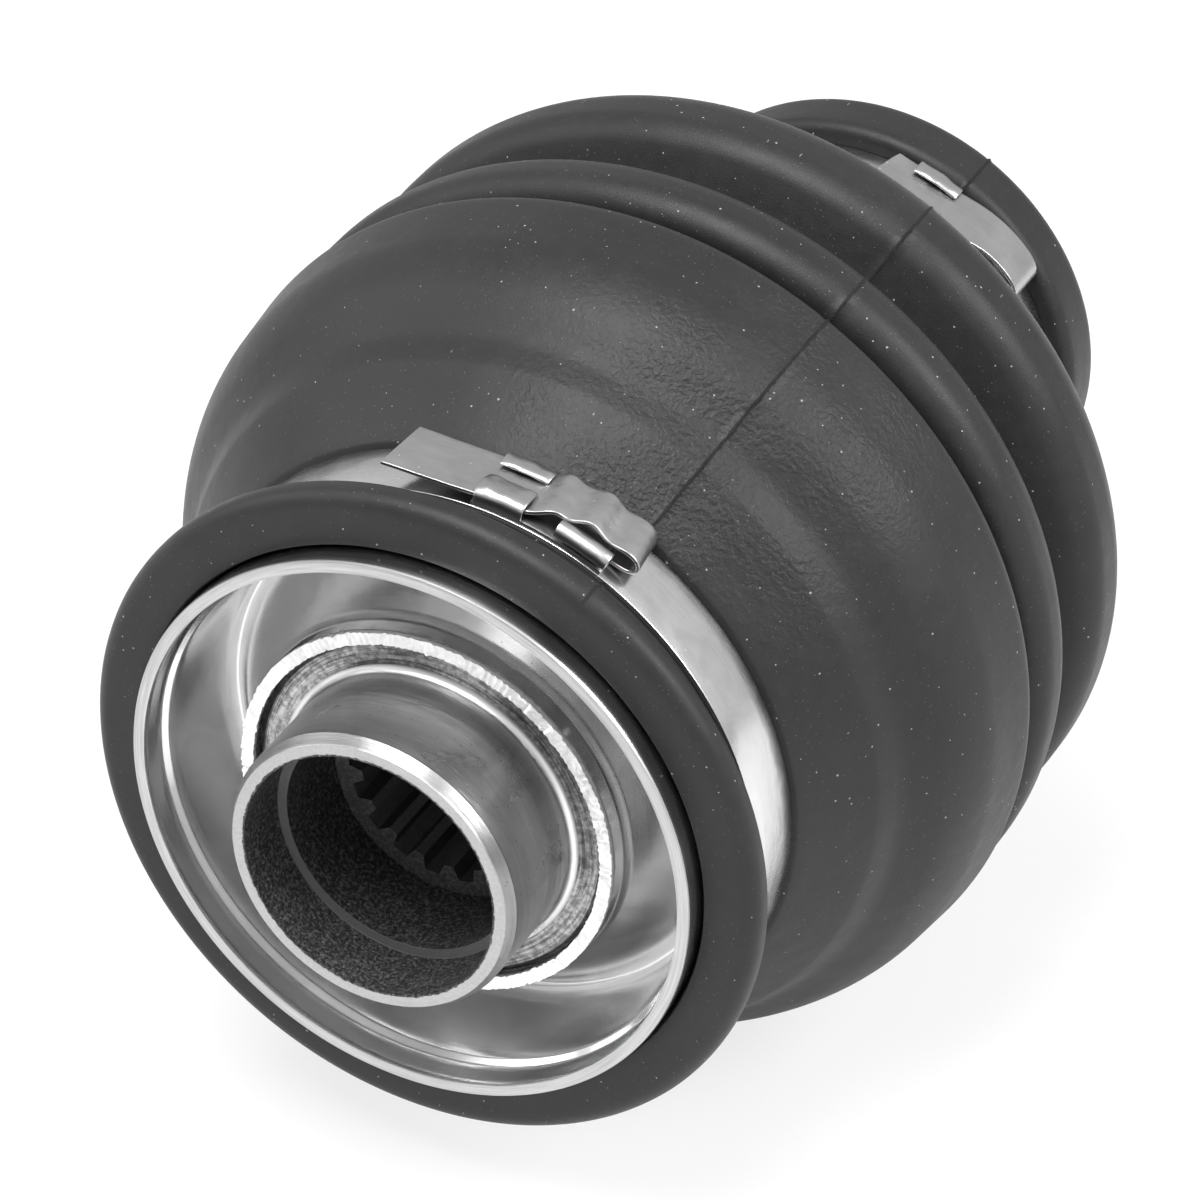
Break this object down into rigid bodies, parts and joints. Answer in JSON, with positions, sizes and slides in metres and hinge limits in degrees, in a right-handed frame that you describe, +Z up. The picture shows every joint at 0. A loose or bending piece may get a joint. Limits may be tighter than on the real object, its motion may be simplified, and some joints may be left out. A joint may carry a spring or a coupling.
{
  "type": "universal joint",
  "caption": "Universal joint sealed in a round rubber bellows boot, with a splined steel sleeve in a pressed cup, strap clamps and a splined rear hub.",
  "frame": {"origin": "centre of the splined sleeve's mouth, on the shaft axis", "axes": "shaft axis along Y, with the sleeve's mouth facing -Y and the rear hub at +Y; +Z up"},
  "size_m": [0.103, 0.131, 0.103],
  "materials": {
    "turned_steel": "turned and brushed steel, lightly oiled",
    "pressed_steel": "smooth bright drawn steel",
    "bearing_steel": "ground bearing steel",
    "spring_steel": "oiled spring steel",
    "stainless_band": "rolled stainless strip",
    "boot_rubber": "moulded black rubber, dusty satin",
    "seal_rubber": "matt black rubber"
  },
  "bodies": {
    "front_half": {"front_yoke": "turned_steel", "pressed_cup": "pressed_steel", "front_core_plug": "pressed_steel", "rubber_boot": "boot_rubber", "front_clamp_strap": "stainless_band", "front_clamp_buckle": "stainless_band", "bearing_cup_top": "bearing_steel", "needle_rollers_top": "bearing_steel", "cup_seal_top": "seal_rubber", "retaining_ring_top": "spring_steel", "bearing_cup_bottom": "bearing_steel", "needle_rollers_bottom": "bearing_steel", "cup_seal_bottom": "seal_rubber", "retaining_ring_bottom": "spring_steel"},
    "cross": {"cross": "bearing_steel"},
    "rear_half": {"rear_yoke": "turned_steel", "rear_core_plug": "pressed_steel", "rear_clamp_strap": "stainless_band", "rear_clamp_buckle": "stainless_band", "bearing_cup_right": "bearing_steel", "needle_rollers_right": "bearing_steel", "cup_seal_right": "seal_rubber", "retaining_ring_right": "spring_steel", "bearing_cup_left": "bearing_steel", "needle_rollers_left": "bearing_steel", "cup_seal_left": "seal_rubber", "retaining_ring_left": "spring_steel"}
  },
  "joints": [
    {"name": "front_fork_pivot", "type": "hinge", "parent": "front_half", "child": "cross", "pos_m": [0, 0.066, 0], "axis": [0, 0, 1], "range_deg": [-20, 20], "deforming": ["rubber_boot"]},
    {"name": "rear_fork_pivot", "type": "hinge", "parent": "cross", "child": "rear_half", "pos_m": [0, 0.066, 0], "axis": [1, 0, 0], "range_deg": [-20, 20], "deforming": ["rubber_boot"]}
  ]
}
